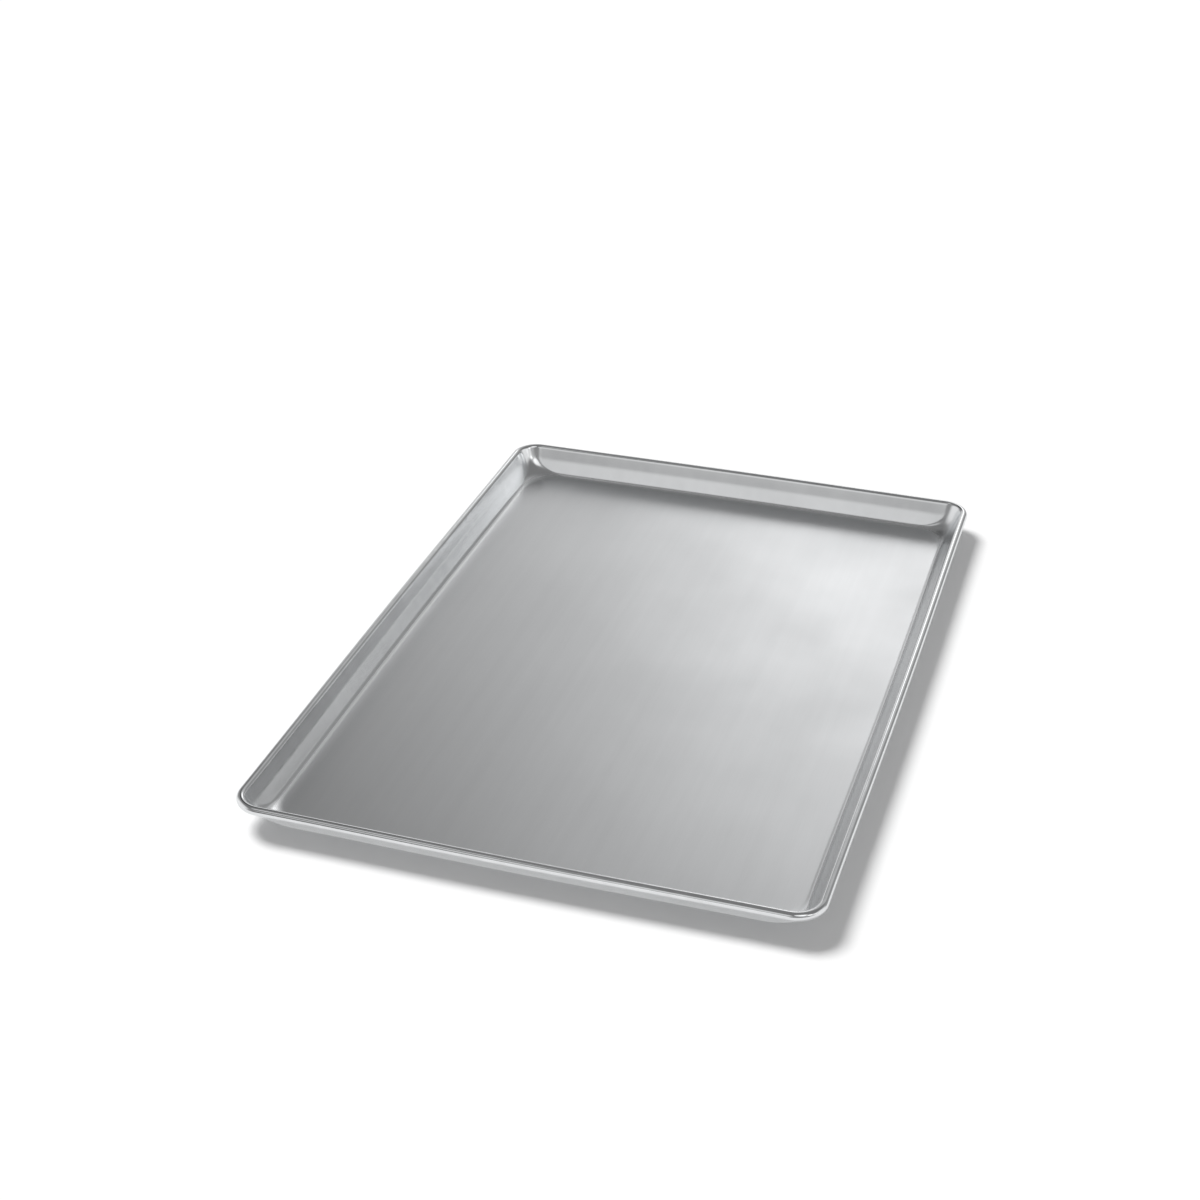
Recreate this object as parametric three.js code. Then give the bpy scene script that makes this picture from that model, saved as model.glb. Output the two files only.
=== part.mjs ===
// A full-size bakery sheet pan: one pressed aluminium sheet whose rim is rolled round a steel wire.
// Millimetres, +Z up. The origin is the centre of the underside, X runs across the pan and Y along it.

import * as THREE from 'three';

// Overall sizes, from outside edge to outside edge of the rolled rim
const WIDTH = 451;
const LENGTH = 654;
const HEIGHT = 25.4;

// The sheet, and the wire in its rim
const SHEET = 1.0;
const WIRE_DIAMETER = 4.4;
const WIRE_CLEARANCE = 0.3; // all round the wire, inside the rolled rim
const WIRE_END_GAP = 2.0; // between the wire's two ends
const CURL_GAP = 0.8; // between the rolled rim's free edge and the wall

// The pressing
const WALL_FLARE = THREE.MathUtils.degToRad(27); // the walls lean outward from upright
const FOOT_RADIUS = 6; // inside, where floor and wall meet along the sides
const CORNER_FOOT_RADIUS = 30; // inside, where floor and wall meet in the corners
const RIM_CORNER_RADIUS = 24; // outside of the rim, seen from above
const SIDE_BOW = 1.4; // each side stands out this much in its middle

// How finely the curves are divided
const ARC_STEPS = 8; // each corner, seen from above
const SIDE_STEPS = 3; // each half side, seen from above
const FOOT_STEPS = 4;
const WALL_STEPS = 5;
const CURL_STEPS = 16;
const WIRE_SIDES = 8;

// A section across the rim has inset, measured inward from the outermost edge, and height.
// The centre of the rolled rim, and the direction that points from the wall into the pan:
const RIM_RADIUS = WIRE_DIAMETER / 2 + WIRE_CLEARANCE + SHEET;
const RIM_CENTRE = { inset: RIM_RADIUS, height: HEIGHT - RIM_RADIUS };
const WALL_FACES = { inset: Math.cos(WALL_FLARE), height: Math.sin(WALL_FLARE) };

// The wall's inside ends at this height, where it runs smoothly into the rolled rim.
const WALL_TOP = RIM_CENTRE.height + RIM_RADIUS * WALL_FACES.height;
const LARGEST_FOOT = (WALL_TOP - SHEET) / (1 - WALL_FACES.height);

// The foot's arc turns from the flat floor to the lean of the wall.
const FOOT_TURN = Math.PI / 2 - WALL_FLARE;

// The rolled rim goes round until its free edge is CURL_GAP from the outside of the wall.
const CURL_TURN = 2 * Math.PI - Math.acos((RIM_RADIUS - SHEET - CURL_GAP) / RIM_RADIUS);

const SIDE_FOOT = footArc(FOOT_RADIUS);
const CORNER_FOOT = footArc(CORNER_FOOT_RADIUS);

// The foot's arc touches the floor and the wall, and is no larger than the wall allows.
function footArc(wantedRadius) {
  const radius = Math.min(wantedRadius, LARGEST_FOOT);
  const height = SHEET + radius;
  const rimReach = RIM_CENTRE.inset * WALL_FACES.inset + RIM_CENTRE.height * WALL_FACES.height + RIM_RADIUS;
  const inset = (rimReach + radius - height * WALL_FACES.height) / WALL_FACES.inset;
  return { radius, inset, height };
}

// Where the section across a corner stands at this height. It has the same wall as a side, and a larger foot.
function cornerInset(inset, height, outward) {
  const radius = CORNER_FOOT.radius + outward;
  const below = CORNER_FOOT.height - height;
  if (below < radius * Math.cos(FOOT_TURN)) {
    return inset;
  }
  return CORNER_FOOT.inset - Math.sqrt(Math.max(radius ** 2 - below ** 2, 0));
}

// One face of the sheet, from the edge of the flat floor up the wall and round the rolled rim.
// The inside face has outward 0, and the outside face lies outward by the sheet's thickness.
function sheetFace(outward) {
  const footRadius = SIDE_FOOT.radius + outward;
  const foot = divide(FOOT_STEPS).map((share) => ({
    inset: SIDE_FOOT.inset - footRadius * Math.sin(FOOT_TURN * share),
    height: SIDE_FOOT.height - footRadius * Math.cos(FOOT_TURN * share),
  }));
  const curlRadius = RIM_RADIUS - outward;
  const curl = divide(CURL_STEPS).map((share) => ({
    inset: RIM_CENTRE.inset + curlRadius * Math.cos(WALL_FLARE + CURL_TURN * share),
    height: RIM_CENTRE.height + curlRadius * Math.sin(WALL_FLARE + CURL_TURN * share),
  }));
  const wallFoot = foot.at(-1);
  const wall = divide(WALL_STEPS).slice(1, -1).map((share) => ({
    inset: THREE.MathUtils.lerp(wallFoot.inset, curl[0].inset, share),
    height: THREE.MathUtils.lerp(wallFoot.height, curl[0].height, share),
  }));
  const pressed = [...foot, ...wall].map(({ inset, height }) => (
    levelLoop(inset, height, cornerInset(inset, height, outward))
  ));
  const rolled = curl.map(({ inset, height }) => levelLoop(inset, height, inset));
  return [...pressed, ...rolled];
}

// Even shares from 0 to 1.
function divide(steps) {
  return Array.from({ length: steps + 1 }, (_, step) => step / steps);
}

// The loop of points round the pan at one height: inset on the sides and acrossCorner on the diagonals.
// The corner's radius is the one that puts the middle of its arc at acrossCorner.
function levelLoop(inset, height, acrossCorner) {
  const cornerRadius = RIM_CORNER_RADIUS + (acrossCorner - Math.SQRT2 * inset) / (Math.SQRT2 - 1);
  const halfWidth = WIDTH / 2 - inset;
  const halfLength = LENGTH / 2 - inset;
  const arcX = halfWidth - SIDE_BOW - cornerRadius;
  const arcY = halfLength - SIDE_BOW - cornerRadius;
  const drawnIn = (share) => SIDE_BOW * (1 - (1 - share ** 2) ** 2);
  const longSide = divide(SIDE_STEPS).slice(0, -1).map((share) => [halfWidth - drawnIn(share), arcY * share]);
  const shortSide = divide(SIDE_STEPS).slice(0, -1).map((share) => [arcX * share, halfLength - drawnIn(share)]);
  const corner = divide(ARC_STEPS).map((share) => [
    arcX + cornerRadius * Math.cos(share * Math.PI / 2),
    arcY + cornerRadius * Math.sin(share * Math.PI / 2),
  ]);
  const quarter = [...longSide, ...corner, ...shortSide.reverse()];
  const mirrors = [[1, 1], [-1, 1], [-1, -1], [1, -1]];
  return mirrors.flatMap(([mirrorX, mirrorY], turn) => {
    const run = turn % 2 === 0 ? quarter : quarter.toReversed();
    return run.slice(0, -1).map(([x, y]) => new THREE.Vector3(mirrorX * x, mirrorY * y, height));
  });
}

// A closed skin over a row of loops with equally many points, with both end loops filled in.
function loft(loops) {
  const count = loops[0].length;
  const positions = loops.flat().flatMap((point) => point.toArray());
  const index = [];
  for (let row = 0; row + 1 < loops.length; row += 1) {
    for (let column = 0; column < count; column += 1) {
      const here = row * count + column;
      const beside = row * count + (column + 1) % count;
      index.push(here, here + count, beside + count, here, beside + count, beside);
    }
  }
  const fill = (loop, firstIndex, reversed) => {
    const middle = loop.reduce((sum, point) => sum.add(point), new THREE.Vector3()).divideScalar(count);
    const middleIndex = positions.length / 3;
    positions.push(...middle.toArray());
    for (let column = 0; column < count; column += 1) {
      const edge = [firstIndex + column, firstIndex + (column + 1) % count];
      index.push(middleIndex, ...(reversed ? edge.reverse() : edge));
    }
  };
  fill(loops[0], 0, false);
  fill(loops.at(-1), (loops.length - 1) * count, true);
  const geometry = new THREE.BufferGeometry();
  geometry.setAttribute('position', new THREE.Float32BufferAttribute(positions, 3));
  geometry.setIndex(index);
  geometry.computeVertexNormals();
  return geometry;
}

// The pressed and rolled sheet: up its inside, over the free edge of the rim and back down its outside.
function makePanBody() {
  const loops = [...sheetFace(0), ...sheetFace(SHEET).reverse()];
  const material = new THREE.MeshStandardMaterial({ color: 0xc3c4c7, roughness: 0.36, metalness: 1.0 });
  const mesh = new THREE.Mesh(loft(loops), material);
  mesh.name = 'pan_body';
  return mesh;
}

// The wire lies in the middle of the rolled rim. Its ends meet in the middle of one long side.
function makeRimWire() {
  const route = levelLoop(RIM_CENTRE.inset, RIM_CENTRE.height, RIM_CENTRE.inset);
  const start = route[0].clone();
  const end = route[0].clone();
  start.y += WIRE_END_GAP / 2;
  end.y -= WIRE_END_GAP / 2;
  const points = [start, ...route.slice(1), end];
  const up = new THREE.Vector3(0, 0, 1);
  const radius = WIRE_DIAMETER / 2;
  const loops = points.map((point, step) => {
    const before = points[Math.max(step - 1, 0)];
    const after = points[Math.min(step + 1, points.length - 1)];
    const along = after.clone().sub(before).normalize();
    const inward = up.clone().cross(along);
    return Array.from({ length: WIRE_SIDES }, (_, side) => {
      const angle = -2 * Math.PI * side / WIRE_SIDES;
      return point.clone()
        .addScaledVector(inward, radius * Math.cos(angle))
        .addScaledVector(up, radius * Math.sin(angle));
    });
  });
  const material = new THREE.MeshStandardMaterial({ color: 0x8f9496, roughness: 0.5, metalness: 1.0 });
  const mesh = new THREE.Mesh(loft(loops), material);
  mesh.name = 'rim_wire';
  return mesh;
}

const sheetPan = new THREE.Group();
sheetPan.add(makePanBody(), makeRimWire());

export default sheetPan;
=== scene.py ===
import math

import bpy
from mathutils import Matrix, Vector


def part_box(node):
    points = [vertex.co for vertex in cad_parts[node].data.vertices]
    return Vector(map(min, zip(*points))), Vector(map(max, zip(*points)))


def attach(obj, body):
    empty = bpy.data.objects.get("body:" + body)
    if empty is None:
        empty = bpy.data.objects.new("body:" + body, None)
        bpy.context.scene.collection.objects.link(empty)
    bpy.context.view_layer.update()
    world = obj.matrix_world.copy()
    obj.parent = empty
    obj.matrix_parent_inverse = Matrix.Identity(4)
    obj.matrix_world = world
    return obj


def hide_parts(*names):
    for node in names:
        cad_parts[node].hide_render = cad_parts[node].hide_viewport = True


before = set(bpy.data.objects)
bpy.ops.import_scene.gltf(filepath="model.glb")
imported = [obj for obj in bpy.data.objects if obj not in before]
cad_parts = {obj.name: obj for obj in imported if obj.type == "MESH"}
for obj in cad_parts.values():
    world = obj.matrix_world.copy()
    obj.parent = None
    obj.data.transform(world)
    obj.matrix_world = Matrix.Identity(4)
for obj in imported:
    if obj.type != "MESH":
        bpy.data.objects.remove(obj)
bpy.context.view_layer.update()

# The looks of a full-size bakery sheet pan. Metres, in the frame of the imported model: +Z up, the origin
# in the middle of the underside, X across the pan and Y along it.

# Overall sizes, from the frame
PAN_LOW, PAN_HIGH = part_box("pan_body")
WIDTH = PAN_HIGH.x - PAN_LOW.x
LENGTH = PAN_HIGH.y - PAN_LOW.y
HEIGHT = PAN_HIGH.z - PAN_LOW.z

# The sheet, and the wire in its rim
SHEET = 0.0010
WIRE_DIAMETER = 0.0044
WIRE_CLEARANCE = 0.0003
WIRE_END_GAP = 0.0020
CURL_GAP = 0.0008

# The pressing
WALL_FLARE = math.radians(27)
FOOT_RADIUS = 0.006
CORNER_FOOT_RADIUS = 0.030
RIM_CORNER_RADIUS = 0.024
SIDE_BOW = 0.0014
WALL_BEND = 0.0004  # the walls have a faint lengthwise bend, which stands outward this much
WALL_BEND_SHARE = 0.5  # of the way up the wall
WALL_BEND_ROUNDING = 0.3

# How finely the curves are divided
ARC_STEPS = 20
SIDE_STEPS = 16
FOOT_STEPS = 12
WALL_STEPS = 20
CURL_STEPS = 48
WIRE_SIDES = 20
FLOOR_SHARES = (0.08, 0.3, 0.55, 0.75, 0.88, 0.96)  # of the way from the floor's middle to its edge
SHARP_ANGLE = math.radians(50)  # edges that turn more than this stay sharp

# The rolled rim and the foot, as sections with an inset from the outermost edge and a height
RIM_RADIUS = WIRE_DIAMETER / 2 + WIRE_CLEARANCE + SHEET
RIM_INSET = RIM_RADIUS
RIM_HEIGHT = HEIGHT - RIM_RADIUS
FOOT_TURN = math.pi / 2 - WALL_FLARE
CURL_TURN = 2 * math.pi - math.acos((RIM_RADIUS - SHEET - CURL_GAP) / RIM_RADIUS)

# The bare metal's colour, and how blurred it mirrors: the floor as rolled, the walls and corners as drawn,
# the rim as burnished
METAL_TONE = 0.804
COOL_HUE = 0.58
COOL_SATURATION = 0.025
FLOOR_ROUGHNESS = 0.31
WALL_ROUGHNESS = 0.17
CORNER_ROUGHNESS = 0.21
RIM_ROUGHNESS = 0.11

# The heights between which one finish passes into the next
UNDERSIDE_TO_FLOOR = (0.0002, 0.0008)
FLOOR_TO_WALL = (0.001, 0.004)
FLOOR_TO_DRAW_MARKS = (0.002, 0.006)
WALL_TO_RIM = (RIM_HEIGHT - RIM_RADIUS, RIM_HEIGHT)

# How far from the pan's edges the duller metal of the drawn corners begins and is complete
CORNER_BEGINS = 0.045
CORNER_COMPLETE = 0.030

# Marks on the bare metal: their features per metre along X, Y and Z, and the detail of their noise
MARKS = {
    "grain": ((2600.0, 40.0, 1200.0), 2.0),
    "rolling": ((110.0, 1.5, 110.0), 4.0),
    "smudges": ((9.0, 9.0, 9.0), 4.0),
    "draw_marks": ((70.0, 70.0, 6.0), 3.0),
    "scuffs": ((260.0, 9.0, 1.0), 4.0),
}
NOISE_ENDS = (0.3, 0.7)  # nearly all noise lies between these
SCUFFS_SHOW = (-0.125, 0.5)  # only the stronger scuffs show
# How much the marks add to the roughness and to the tone, from their weakest to their strongest places
ROUGHER = {"smudges": 0.04, "grain": 0.02, "draw_marks": 0.05, "scuffs": 0.12}
PALER = {"rolling": 0.022, "grain": 0.02, "smudges": -0.03, "draw_marks": 0.06, "scuffs": -0.08}
DRAW_MARK_BUMP = 0.02
DRAW_MARK_DEPTH = 0.0002

# The wire's zinc, from the middle of a spangle to its edge
SPANGLES = 700.0  # per metre
ZINC_ROUGHNESS = (0.38, 0.6)
ZINC_TONE = (0.62, 0.48)

# Places round the pan are an azimuth and an elevation in degrees. Azimuth 0 is +Y and 90 is +X.

# The camera, as fitted to the rim and the floor in the photograph
CAMERA_AIM = Vector((-0.0440, 0.0189, 0.0413))
CAMERA_PLACE = (162.31, 29.92)
CAMERA_DISTANCE = 1.75
CAMERA_LENS = 62.0
SENSOR_WIDTH = 36.0

# The studio
STUDIO_HALF = 30.0
STUDIO_WHITE = 0.95
FLOOR_GAP = 0.0002  # between the studio's floor and the pan
MIRRORED_FLOOR = 0.85  # the level that the floor tends to where the metal mirrors it
MIRRORED_SHARE = 0.5
KEY_PLACE = (-67.0, 52.5)
KEY_ENERGY = 2.8
KEY_ANGLE = math.radians(24)
FILL_LEVEL = 0.38
# The plain level of the backdrop, by the sine of the elevation
BACKDROP = ((0.0, 1.0), (0.02, 0.8), (0.06, 0.3), (0.3, 0.32), (0.55, 0.28), (0.7, 0.21), (1.0, 0.22))
BACKDROP_DARKEST = 0.02
# Soft lights and dark places on the backdrop: azimuth, elevation, where they begin and end to fade, in
# degrees, and the level that they add
GLOWS = (
    (-8.0, 27.5, 3.0, 9.0, 1.25),
    (0.0, 34.0, 8.0, 26.0, 0.3),
    (-35.0, 38.0, 4.0, 15.0, -0.2),
    (-9.0, 41.0, 3.0, 11.0, -0.12),
    (-28.0, 16.0, 5.0, 14.0, 0.5),
    (-12.0, 12.0, 4.0, 14.0, 0.3),
    (-97.0, 11.0, 15.0, 38.0, 0.6),
    (-122.0, 62.0, 4.0, 12.0, 0.5),
    (-152.0, 8.0, 5.0, 12.0, -0.2),
    (-167.0, 36.0, 8.0, 18.0, 0.5),
    (-170.0, 5.0, 5.0, 11.0, 0.6),
    (142.0, 53.0, 13.0, 17.0, 0.92),
    (128.0, 40.0, 10.0, 24.0, 0.26),
    (116.0, 33.0, 4.0, 9.0, 0.9),
    (108.0, 22.0, 6.0, 17.0, 0.5),
    (80.0, 10.0, 10.0, 30.0, 0.6),
    (45.0, 5.0, 4.0, 10.0, 0.14),
)


def shares(steps):
    """Even shares from 0 to 1."""
    return [step / steps for step in range(steps + 1)]


def mix(low, high, share):
    """The value at this share of the way from low to high."""
    return low + (high - low) * share


def foot_arc(radius):
    """Radius, inset and height of the centre of an arc that touches the floor and the wall."""
    height = SHEET + radius
    reach = RIM_INSET * math.cos(WALL_FLARE) + RIM_HEIGHT * math.sin(WALL_FLARE) + RIM_RADIUS
    inset = (reach + radius - height * math.sin(WALL_FLARE)) / math.cos(WALL_FLARE)
    return radius, inset, height


def corner_inset(inset, height, outward):
    """The inset of the section across a corner, which has a larger foot than a side has."""
    foot_radius, foot_inset, foot_height = foot_arc(CORNER_FOOT_RADIUS)
    radius = foot_radius + outward
    below = foot_height - height
    if below < radius * math.cos(FOOT_TURN):
        return inset
    return foot_inset - math.sqrt(max(radius ** 2 - below ** 2, 0.0))


def level_loop(inset, height, across_corner):
    """The points round the pan at one height, from the middle of the +X side to the left."""
    corner_radius = RIM_CORNER_RADIUS + (across_corner - math.sqrt(2) * inset) / (math.sqrt(2) - 1)
    half_width = WIDTH / 2 - inset
    half_length = LENGTH / 2 - inset
    arc_x = half_width - SIDE_BOW - corner_radius
    arc_y = half_length - SIDE_BOW - corner_radius
    quarter = []
    for share in shares(SIDE_STEPS)[:-1]:
        drawn_in = SIDE_BOW * (1 - (1 - share ** 2) ** 2)
        quarter.append((half_width - drawn_in, arc_y * share))
    for share in shares(ARC_STEPS):
        turn = share * math.pi / 2
        quarter.append((arc_x + corner_radius * math.cos(turn), arc_y + corner_radius * math.sin(turn)))
    for share in reversed(shares(SIDE_STEPS)[:-1]):
        drawn_in = SIDE_BOW * (1 - (1 - share ** 2) ** 2)
        quarter.append((arc_x * share, half_length - drawn_in))
    loop = []
    for turn, (mirror_x, mirror_y) in enumerate(((1, 1), (-1, 1), (-1, -1), (1, -1))):
        run = quarter if turn % 2 == 0 else quarter[::-1]
        loop += [Vector((mirror_x * x, mirror_y * y, height)) for x, y in run[:-1]]
    return loop


def wall_bend(share):
    """How far the wall stands outward of a straight line, by the share of its height."""
    below = share / WALL_BEND_SHARE
    above = (1 - share) / (1 - WALL_BEND_SHARE)
    near_bend = max(WALL_BEND_ROUNDING - abs(below - above), 0.0)
    return WALL_BEND * (min(below, above) - near_bend ** 2 / (4 * WALL_BEND_ROUNDING))


def sheet_face(outward):
    """Loops over one face of the sheet, from near the middle of the floor to the free edge of the rim.
    The inside face has outward 0, and the outside face lies outward by the sheet's thickness."""
    foot_radius, foot_inset, foot_height = foot_arc(FOOT_RADIUS)
    foot_radius += outward
    curl_radius = RIM_RADIUS - outward
    foot = []
    for share in shares(FOOT_STEPS):
        turn = FOOT_TURN * share
        foot.append((foot_inset - foot_radius * math.sin(turn), foot_height - foot_radius * math.cos(turn)))
    curl = []
    for share in shares(CURL_STEPS):
        turn = WALL_FLARE + CURL_TURN * share
        curl.append((RIM_INSET + curl_radius * math.cos(turn), RIM_HEIGHT + curl_radius * math.sin(turn)))
    pressed = [level_loop(inset, height, corner_inset(inset, height, outward)) for inset, height in foot]
    for share in shares(WALL_STEPS)[1:-1]:
        inset = mix(foot[-1][0], curl[0][0], share)
        height = mix(foot[-1][1], curl[0][1], share)
        across_corner = corner_inset(inset, height, outward)
        bend = wall_bend(share)
        inset -= bend * math.cos(WALL_FLARE)
        height -= bend * math.sin(WALL_FLARE)
        pressed.append(level_loop(inset, height, across_corner))
    rolled = [level_loop(inset, height, inset) for inset, height in curl]
    edge = pressed[0]
    floor = [[Vector((p.x * share, p.y * share, p.z)) for p in edge] for share in FLOOR_SHARES]
    return floor + pressed + rolled


def loft(name, loops):
    """A smooth closed skin over a row of loops, with both end loops filled in."""
    count = len(loops[0])
    points = [point for loop in loops for point in loop]
    faces = []
    for row in range(len(loops) - 1):
        for column in range(count):
            here = row * count + column
            beside = row * count + (column + 1) % count
            faces.append((here, here + count, beside + count, beside))
    last = (len(loops) - 1) * count
    faces.append(tuple(range(count)))
    faces.append(tuple(last + column for column in reversed(range(count))))
    mesh = bpy.data.meshes.new(name)
    mesh.from_pydata(points, [], faces)
    mesh.shade_smooth()
    mesh.set_sharp_from_angle(angle=SHARP_ANGLE)
    mesh.validate()
    piece = bpy.data.objects.new(name, mesh)
    bpy.context.scene.collection.objects.link(piece)
    return piece


def make_pan():
    """The pressed and rolled sheet, up its inside, over the free edge and back down its outside."""
    return loft("pan_sheet", sheet_face(0.0) + sheet_face(SHEET)[::-1])


def make_wire():
    """The wire in the rolled rim, with its two ends in the middle of one long side."""
    route = level_loop(RIM_INSET, RIM_HEIGHT, RIM_INSET)
    half_gap = Vector((0.0, WIRE_END_GAP / 2, 0.0))
    points = [route[0] + half_gap] + route[1:] + [route[0] - half_gap]
    up = Vector((0.0, 0.0, 1.0))
    loops = []
    for step, point in enumerate(points):
        before = points[max(step - 1, 0)]
        after = points[min(step + 1, len(points) - 1)]
        inward = up.cross((after - before).normalized())
        ring = []
        for side in range(WIRE_SIDES):
            angle = -2 * math.pi * side / WIRE_SIDES
            ring.append(point + (inward * math.cos(angle) + up * math.sin(angle)) * WIRE_DIAMETER / 2)
        loops.append(ring)
    return loft("wire_in_rim", loops)


def new_material(name):
    """A material with nodes, and its node tree and Principled shader."""
    material = bpy.data.materials.new(name)
    material.use_nodes = True
    tree = material.node_tree
    return material, tree, tree.nodes["Principled BSDF"]


def add_node(tree, kind, inputs, **settings):
    """A new node. Each of its inputs is given a value, or the output of another node."""
    node = tree.nodes.new(kind)
    for key, value in settings.items():
        setattr(node, key, value)
    for key, value in inputs.items():
        if isinstance(value, bpy.types.NodeSocket):
            tree.links.new(value, node.inputs[key])
        else:
            node.inputs[key].default_value = value
    return node


def calculate(tree, operation, *terms):
    """The result of one sum on node outputs and numbers."""
    return add_node(tree, "ShaderNodeMath", dict(enumerate(terms)), operation=operation).outputs["Value"]


def carry(tree, value, low, high, to_low, to_high, kind="LINEAR"):
    """A value carried from one range to another, and held at the range's ends."""
    ends = {"Value": value, "From Min": low, "From Max": high, "To Min": to_low, "To Max": to_high}
    return add_node(tree, "ShaderNodeMapRange", ends, interpolation_type=kind).outputs["Result"]


def even(level):
    """The colour with this level in all its parts."""
    return (level, level, level, 1.0)


def noise(tree, place, scale, detail):
    """Noise from -0.5 to 0.5, stretched by a scale for each axis, in features per metre."""
    stretched = add_node(tree, "ShaderNodeMapping", {"Vector": place, "Scale": scale})
    inputs = {"Vector": stretched.outputs["Vector"], "Scale": 1.0, "Detail": detail}
    texture = add_node(tree, "ShaderNodeTexNoise", inputs)
    return carry(tree, texture.outputs["Fac"], *NOISE_ENDS, -0.5, 0.5)


def cool_grey(tree, tone):
    """A grey of this tone, with a trace of blue."""
    parts = {0: COOL_HUE, 1: COOL_SATURATION, 2: tone}
    return add_node(tree, "ShaderNodeCombineColor", parts, mode="HSV").outputs["Color"]


def corner_zone(size):
    """Where the corners begin and are complete along one axis, measured from the middle of the pan."""
    return size / 2 - CORNER_BEGINS, size / 2 - CORNER_COMPLETE


def sheet_marks(tree, place, height):
    """The marks by name. Grain ends at the rim, draw marks are on the walls and scuffs on the underside."""
    marks = {name: noise(tree, place, *form) for name, form in MARKS.items()}
    off_rim = carry(tree, height, *WALL_TO_RIM, 1.0, 0.0)
    on_wall = carry(tree, height, *FLOOR_TO_DRAW_MARKS, 0.0, 1.0)
    on_underside = carry(tree, height, *UNDERSIDE_TO_FLOOR, 1.0, 0.0)
    strong_scuffs = carry(tree, marks["scuffs"], *SCUFFS_SHOW, 0.0, 1.0)
    marks["grain"] = calculate(tree, "MULTIPLY", off_rim, marks["grain"])
    marks["draw_marks"] = calculate(tree, "MULTIPLY", on_wall, marks["draw_marks"])
    marks["scuffs"] = calculate(tree, "MULTIPLY", on_underside, strong_scuffs)
    return marks


def unmarked_roughness(tree, axes):
    """The roughness of the floor, of the walls with their duller corners, and of the rim."""
    near_side = carry(tree, calculate(tree, "ABSOLUTE", axes["X"]), *corner_zone(WIDTH), 0.0, 1.0)
    near_end = carry(tree, calculate(tree, "ABSOLUTE", axes["Y"]), *corner_zone(LENGTH), 0.0, 1.0)
    in_corner = calculate(tree, "MULTIPLY", near_side, near_end)
    wall = calculate(tree, "MULTIPLY_ADD", in_corner, CORNER_ROUGHNESS - WALL_ROUGHNESS, WALL_ROUGHNESS)
    pressed = carry(tree, axes["Z"], *FLOOR_TO_WALL, FLOOR_ROUGHNESS, wall)
    return carry(tree, axes["Z"], *WALL_TO_RIM, pressed, RIM_ROUGHNESS)


def aluminium():
    """Bare sheet: grain and faint streaks from rolling along the pan, handling smudges, draw marks up the
    walls, dull corners, a burnished rim and scuffs on the underside."""
    material, tree, shader = new_material("satin_aluminium")
    place = add_node(tree, "ShaderNodeTexCoord", {}).outputs["Object"]
    axes = add_node(tree, "ShaderNodeSeparateXYZ", {"Vector": place}).outputs
    marks = sheet_marks(tree, place, axes["Z"])
    rough = unmarked_roughness(tree, axes)
    for name, change in ROUGHER.items():
        rough = calculate(tree, "MULTIPLY_ADD", marks[name], change, rough)
    tone = METAL_TONE
    for name, change in PALER.items():
        tone = calculate(tree, "MULTIPLY_ADD", marks[name], change, tone)
    ridges = {"Height": marks["draw_marks"], "Strength": DRAW_MARK_BUMP, "Distance": DRAW_MARK_DEPTH}
    bump = add_node(tree, "ShaderNodeBump", ridges)
    shader.inputs["Metallic"].default_value = 1.0
    tree.links.new(rough, shader.inputs["Roughness"])
    tree.links.new(cool_grey(tree, tone), shader.inputs["Base Color"])
    tree.links.new(bump.outputs["Normal"], shader.inputs["Normal"])
    return material


def galvanised():
    """Dull zinc with small pale spangles."""
    material, tree, shader = new_material("galvanised_steel")
    place = add_node(tree, "ShaderNodeTexCoord", {}).outputs["Object"]
    cells = add_node(tree, "ShaderNodeTexVoronoi", {"Vector": place, "Scale": SPANGLES})
    from_middle = cells.outputs["Distance"]
    tone = carry(tree, from_middle, 0.0, 1.0, *ZINC_TONE)
    shader.inputs["Metallic"].default_value = 1.0
    tree.links.new(carry(tree, from_middle, 0.0, 1.0, *ZINC_ROUGHNESS), shader.inputs["Roughness"])
    tree.links.new(cool_grey(tree, tone), shader.inputs["Base Color"])
    return material


def make_floor():
    """A plain white floor just under the pan. The metal mirrors it with less of the shadow."""
    half = STUDIO_HALF
    mesh = bpy.data.meshes.new("studio_floor")
    corners = [(-half, -half, 0.0), (half, -half, 0.0), (half, half, 0.0), (-half, half, 0.0)]
    mesh.from_pydata(corners, [], [(0, 1, 2, 3)])
    floor = bpy.data.objects.new("studio_floor", mesh)
    floor.location.z = PAN_LOW.z - FLOOR_GAP
    bpy.context.scene.collection.objects.link(floor)
    material, tree, shader = new_material("studio_white")
    shader.inputs["Base Color"].default_value = even(STUDIO_WHITE)
    shader.inputs["Roughness"].default_value = 1.0
    shader.inputs["Specular IOR Level"].default_value = 0.0
    path = add_node(tree, "ShaderNodeLightPath", {}).outputs
    mirrored = calculate(tree, "MAXIMUM", path["Is Glossy Ray"], path["Is Transmission Ray"])
    share = calculate(tree, "MULTIPLY", mirrored, MIRRORED_SHARE)
    plain = add_node(tree, "ShaderNodeEmission", {"Strength": MIRRORED_FLOOR})
    both = {0: share, 1: shader.outputs["BSDF"], 2: plain.outputs["Emission"]}
    surface = add_node(tree, "ShaderNodeMixShader", both)
    tree.links.new(surface.outputs["Shader"], tree.nodes["Material Output"].inputs["Surface"])
    mesh.materials.append(material)


def from_pan(azimuth, elevation):
    """The direction from the pan to a place round it."""
    turn = math.radians(azimuth)
    rise = math.radians(elevation)
    return Vector((math.sin(turn) * math.cos(rise), math.cos(turn) * math.cos(rise), math.sin(rise)))


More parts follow.
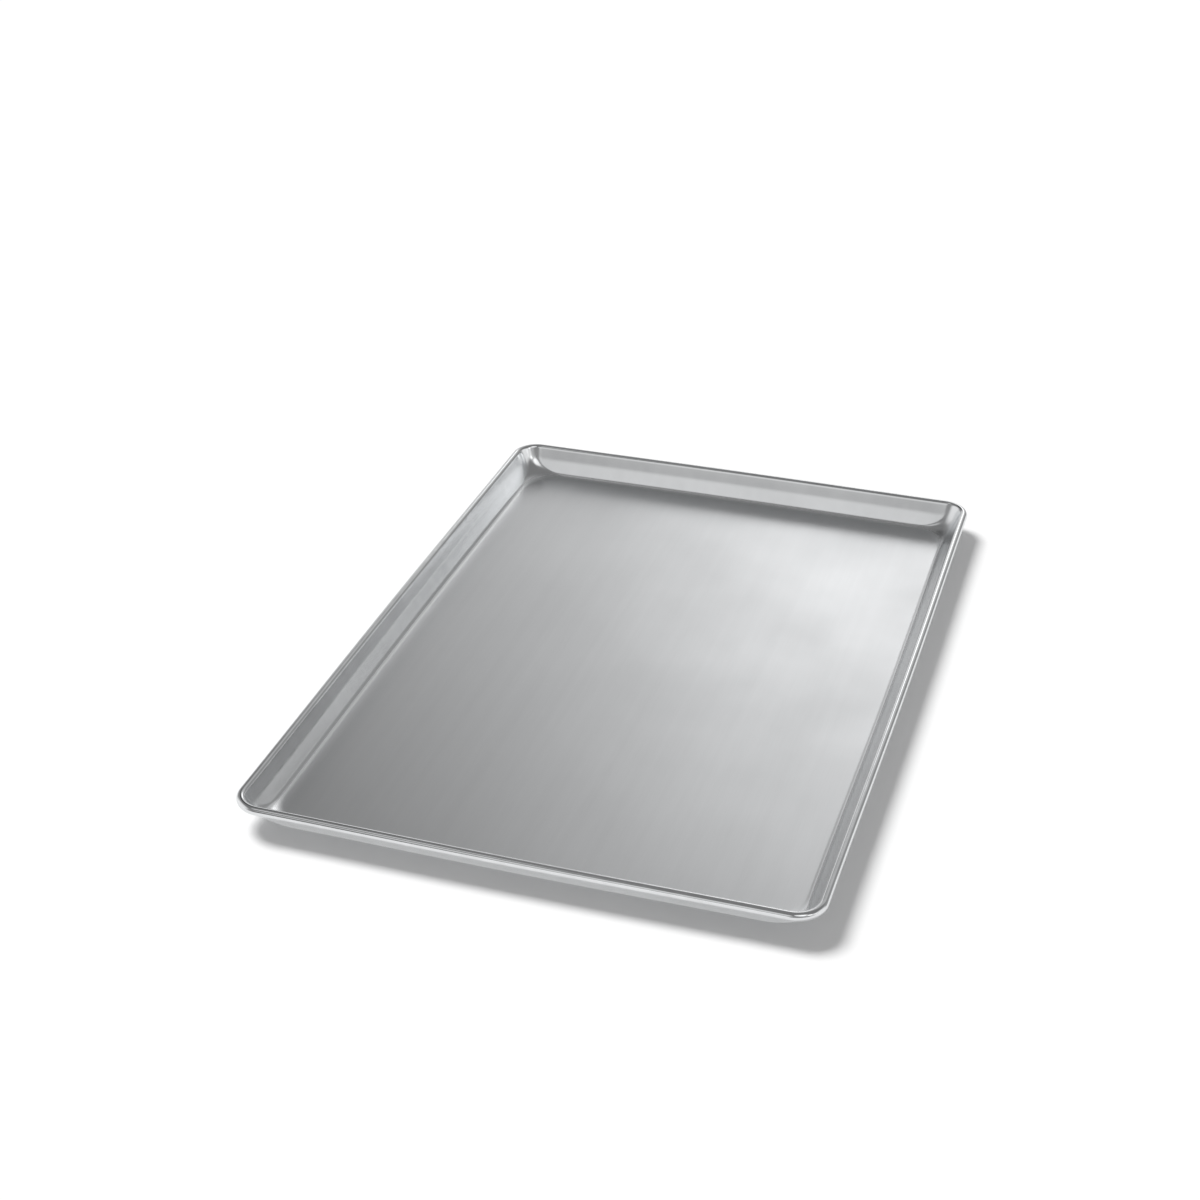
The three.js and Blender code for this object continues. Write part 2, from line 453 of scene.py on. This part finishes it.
def make_camera():
    """The camera stands where the photograph was taken from."""
    data = bpy.data.cameras.new("photo_camera")
    data.lens = CAMERA_LENS
    data.sensor_width = SENSOR_WIDTH
    camera = bpy.data.objects.new("photo_camera", data)
    toward_camera = from_pan(*CAMERA_PLACE)
    camera.location = CAMERA_AIM + toward_camera * CAMERA_DISTANCE
    camera.rotation_euler = toward_camera.to_track_quat("Z", "Y").to_euler()
    bpy.context.scene.collection.objects.link(camera)
    bpy.context.scene.camera = camera


def make_key():
    """The lamp that gives the shadow beside and in front of the pan. Metal doesn't mirror it."""
    data = bpy.data.lights.new("key", "SUN")
    data.energy = KEY_ENERGY
    data.angle = KEY_ANGLE
    key = bpy.data.objects.new("key", data)
    key.rotation_euler = from_pan(*KEY_PLACE).to_track_quat("Z", "Y").to_euler()
    key.visible_glossy = False
    bpy.context.scene.collection.objects.link(key)


def backdrop_level(tree):
    """The backdrop's level in each direction: a plain ramp, and soft lights and dark places on it."""
    place = add_node(tree, "ShaderNodeTexCoord", {}).outputs["Generated"]
    height = add_node(tree, "ShaderNodeSeparateXYZ", {"Vector": place}).outputs["Z"]
    ramp = add_node(tree, "ShaderNodeValToRGB", {"Fac": height})
    stops = ramp.color_ramp.elements
    stops.remove(stops[1])
    for step, (position, level) in enumerate(BACKDROP):
        stop = stops[0] if step == 0 else stops.new(position)
        stop.color = even(level)
    total = ramp.outputs["Color"]
    for azimuth, elevation, inner, outer, level in GLOWS:
        axes = {0: place, 1: from_pan(azimuth, elevation)}
        facing = add_node(tree, "ShaderNodeVectorMath", axes, operation="DOT_PRODUCT").outputs["Value"]
        edge = math.cos(math.radians(outer))
        full = math.cos(math.radians(inner))
        total = calculate(tree, "ADD", total, carry(tree, facing, edge, full, 0.0, level, "SMOOTHSTEP"))
    return calculate(tree, "MAXIMUM", total, BACKDROP_DARKEST)


def make_world():
    """A soft studio. The camera sees it white, the metal mirrors its backdrop, and the rest is plain fill
    light."""
    world = bpy.data.worlds.new("studio")
    bpy.context.scene.world = world
    world.use_nodes = True
    tree = world.node_tree
    fill = tree.nodes["Background"]
    fill.inputs["Color"].default_value = even(1.0)
    fill.inputs["Strength"].default_value = FILL_LEVEL
    path = add_node(tree, "ShaderNodeLightPath", {}).outputs
    level = calculate(tree, "MAXIMUM", backdrop_level(tree), path["Is Camera Ray"])
    backdrop = add_node(tree, "ShaderNodeBackground", {"Color": even(1.0), "Strength": level})
    seen = calculate(tree, "ADD", path["Is Camera Ray"], path["Is Glossy Ray"])
    seen = calculate(tree, "ADD", seen, path["Is Transmission Ray"])
    either = {0: seen, 1: fill.outputs["Background"], 2: backdrop.outputs["Background"]}
    light = add_node(tree, "ShaderNodeMixShader", either)
    tree.links.new(light.outputs["Shader"], tree.nodes["World Output"].inputs["Surface"])


make_camera()
pan = make_pan()
pan.data.materials.append(aluminium())
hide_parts("pan_body")
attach(pan, "root")
wire = make_wire()
wire.data.materials.append(galvanised())
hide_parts("rim_wire")
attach(wire, "root")
make_floor()
make_key()
make_world()
bpy.context.scene.view_settings.view_transform = "Standard"
